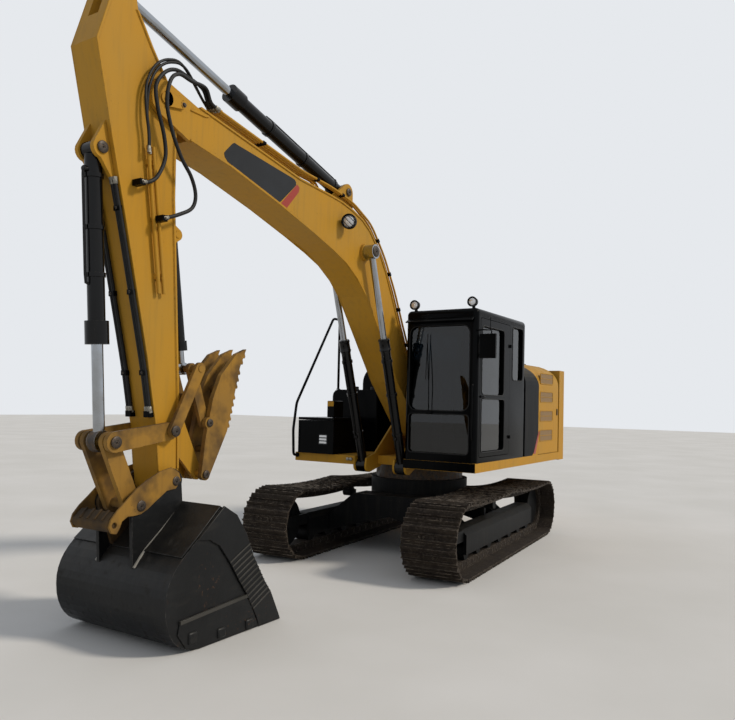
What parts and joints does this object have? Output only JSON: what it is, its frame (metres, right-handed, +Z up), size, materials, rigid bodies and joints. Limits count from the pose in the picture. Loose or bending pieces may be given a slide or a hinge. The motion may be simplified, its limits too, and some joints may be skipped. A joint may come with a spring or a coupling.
{
  "type": "crawler excavator",
  "caption": "Crawler excavator with enclosed cab, one-piece boom, stick, quick coupler, ditching bucket and hydraulic thumb; every joint moves with its cylinder.",
  "frame": {"origin": "on the ground under the swing axis", "axes": "+X forward along the boom, +Y to the cab's side, +Z up"},
  "size_m": [7.7259, 2.883, 4.926],
  "materials": {
    "yellow_paint": "satin enamel, dusty and worn to dark primer at the edges",
    "black_paint": "satin black enamel with dust",
    "track_steel": "bare steel, dirt and light rust",
    "chrome_rod": "polished chrome plate",
    "window_glass": "clear safety glass, slightly green",
    "seat_fabric": "woven dark grey cloth",
    "grey_plastic": "matte moulded plastic"
  },
  "bodies": {
    "undercarriage": {"car_body": "track_steel", "track_frames": "track_steel", "swing_bearing": "track_steel", "track_left": "track_steel", "track_right": "track_steel", "idlers": "track_steel", "sprockets": "track_steel", "track_rollers": "track_steel"},
    "house": {"main_frame": "yellow_paint", "counterweight": "yellow_paint", "engine_block": "track_steel", "side_panels": "black_paint", "tanks": "yellow_paint", "tool_box": "black_paint", "handrails": "black_paint", "mirror": "black_paint", "cab_shell": "black_paint", "cab_glass": "window_glass", "operator_seat": "seat_fabric", "control_consoles": "grey_plastic", "cab_lamps": "grey_plastic"},
    "engine_hood": {"engine_hood": "black_paint"},
    "service_door_left": {"service_door_left": "yellow_paint"},
    "service_door_right": {"service_door_right": "yellow_paint"},
    "tool_box_lid": {"tool_box_lid": "black_paint"},
    "cab_door": {"cab_door": "black_paint", "door_glass": "window_glass"},
    "boom": {"boom": "yellow_paint", "boom_pipes": "track_steel", "boom_lamp": "grey_plastic"},
    "boom_barrels": {"boom_barrels": "black_paint"},
    "boom_rods": {"boom_rods": "chrome_rod"},
    "stick": {"stick": "yellow_paint", "stick_pipes": "track_steel"},
    "stick_barrel": {"stick_barrel": "black_paint"},
    "stick_rod": {"stick_rod": "chrome_rod"},
    "bucket_barrel": {"bucket_barrel": "black_paint"},
    "bucket_rod": {"bucket_rod": "chrome_rod"},
    "idler_links": {"idler_links": "yellow_paint"},
    "power_link": {"power_link": "yellow_paint"},
    "bucket": {"bucket": "black_paint", "coupler": "yellow_paint"},
    "thumb": {"thumb": "yellow_paint"},
    "thumb_links": {"thumb_links": "yellow_paint"},
    "thumb_push_link": {"thumb_push_link": "yellow_paint"},
    "thumb_barrel": {"thumb_barrel": "black_paint"},
    "thumb_rod": {"thumb_rod": "chrome_rod"}
  },
  "joints": [
    {"name": "swing", "type": "hinge", "parent": "undercarriage", "child": "house", "pos_m": [0, 0, 1.067], "axis": [0, 0, 1], "continuous": true},
    {"name": "boom_hinge", "type": "hinge", "parent": "house", "child": "boom", "pos_m": [0.2, 0, 1.57], "axis": [0, -1, 0], "range_deg": [-60, 21]},
    {"name": "stick_hinge", "type": "hinge", "parent": "boom", "child": "stick", "pos_m": [4.62117, 0, 4.11229], "axis": [0, 1, 0], "range_deg": [-93, 12]},
    {"name": "bucket_hinge", "type": "hinge", "parent": "stick", "child": "bucket", "pos_m": [4.43657, 0, 1.17809], "axis": [0, 1, 0], "range_deg": [-72, 95]},
    {"name": "thumb_hinge", "type": "hinge", "parent": "stick", "child": "thumb", "pos_m": [4.07622, 0, 1.19976], "axis": [0, 1, 0], "range_deg": [-115, 0]},
    {"name": "boom_barrel_hinge", "type": "hinge", "parent": "house", "child": "boom_barrels", "pos_m": [0.95, 0, 1.06], "axis": [0, -1, 0], "range_deg": [-61.61, 21.63]},
    {"name": "boom_rod_slide", "type": "slide", "parent": "boom_barrels", "child": "boom_rods", "axis": [0.3108, 0, 0.9505], "range_m": [-0.87031, 0.30526]},
    {"name": "stick_barrel_hinge", "type": "hinge", "parent": "boom", "child": "stick_barrel", "pos_m": [1.98426, 0, 4.08406], "axis": [0, -1, 0], "range_deg": [-0.28, 1.5]},
    {"name": "stick_rod_slide", "type": "slide", "parent": "stick_barrel", "child": "stick_rod", "axis": [0.9696, 0, 0.2448], "range_m": [-1.1837, 0.15361]},
    {"name": "idler_hinge", "type": "hinge", "parent": "stick", "child": "idler_links", "pos_m": [4.46081, 0, 1.56333], "axis": [0, 1, 0], "range_deg": [-44.74, 59]},
    {"name": "power_link_hinge", "type": "hinge", "parent": "idler_links", "child": "power_link", "pos_m": [4.98338, 0, 1.49237], "axis": [0, 1, 0], "range_deg": [-37.15, 28.18]},
    {"name": "bucket_barrel_hinge", "type": "hinge", "parent": "stick", "child": "bucket_barrel", "pos_m": [5.11936, 0, 3.58998], "axis": [0, 1, 0], "range_deg": [-1.9, 2.48]},
    {"name": "bucket_rod_slide", "type": "slide", "parent": "bucket_barrel", "child": "bucket_rod", "axis": [-0.0647, 0, -0.9979], "range_m": [-0.36244, 0.4779]},
    {"name": "thumb_link_hinge", "type": "hinge", "parent": "stick", "child": "thumb_links", "pos_m": [4.46081, 0, 1.56333], "axis": [0, 1, 0], "range_deg": [-80.6, 0.1]},
    {"name": "thumb_push_hinge", "type": "hinge", "parent": "thumb_links", "child": "thumb_push_link", "pos_m": [4.20645, 0, 2.05928], "axis": [0, 1, 0], "range_deg": [-0.1, 92.1]},
    {"name": "thumb_barrel_hinge", "type": "hinge", "parent": "stick", "child": "thumb_barrel", "pos_m": [4.35878, 0, 3.12682], "axis": [0, 1, 0], "range_deg": [-0.1, 11.6]},
    {"name": "thumb_rod_slide", "type": "slide", "parent": "thumb_barrel", "child": "thumb_rod", "axis": [-0.1413, 0, -0.99], "range_m": [-0.001, 0.6795]},
    {"name": "cab_door_hinge", "type": "hinge", "parent": "house", "child": "cab_door", "pos_m": [0.052, 1.25, 1.4], "axis": [0, 0, 1], "range_deg": [0, 170]},
    {"name": "service_door_left_hinge", "type": "hinge", "parent": "house", "child": "service_door_left", "pos_m": [-1.885, 1.195, 1.3], "axis": [0, 0, 1], "range_deg": [0, 95]},
    {"name": "service_door_right_hinge", "type": "hinge", "parent": "house", "child": "service_door_right", "pos_m": [-1.885, -1.195, 1.3], "axis": [0, 0, -1], "range_deg": [0, 95]},
    {"name": "engine_hood_hinge", "type": "hinge", "parent": "house", "child": "engine_hood", "pos_m": [-0.563, 0, 2.412], "axis": [0, 1, 0], "range_deg": [0, 60]},
    {"name": "tool_box_lid_hinge", "type": "hinge", "parent": "house", "child": "tool_box_lid", "pos_m": [0.406, -0.9, 1.608], "axis": [0, -1, 0], "range_deg": [0, 85]}
  ],
  "couplings": [
    {"joint": "boom_barrel_hinge", "follows": "boom_hinge", "ratio": 1.0251},
    {"joint": "boom_rod_slide", "follows": "boom_hinge", "m_per_rad": 0.83013},
    {"joint": "stick_barrel_hinge", "follows": "stick_hinge", "ratio": -0.015},
    {"joint": "stick_rod_slide", "follows": "stick_hinge", "m_per_rad": 0.72864},
    {"joint": "idler_hinge", "follows": "bucket_hinge", "ratio": 0.62},
    {"joint": "power_link_hinge", "follows": "bucket_hinge", "ratio": -0.39},
    {"joint": "bucket_barrel_hinge", "follows": "bucket_hinge", "ratio": 0.025},
    {"joint": "bucket_rod_slide", "follows": "bucket_hinge", "m_per_rad": 0.28763},
    {"joint": "thumb_link_hinge", "follows": "thumb_hinge", "ratio": 0.7},
    {"joint": "thumb_push_hinge", "follows": "thumb_hinge", "ratio": -0.8},
    {"joint": "thumb_barrel_hinge", "follows": "thumb_hinge", "ratio": -0.1},
    {"joint": "thumb_rod_slide", "follows": "thumb_hinge", "m_per_rad": -0.33804}
  ]
}
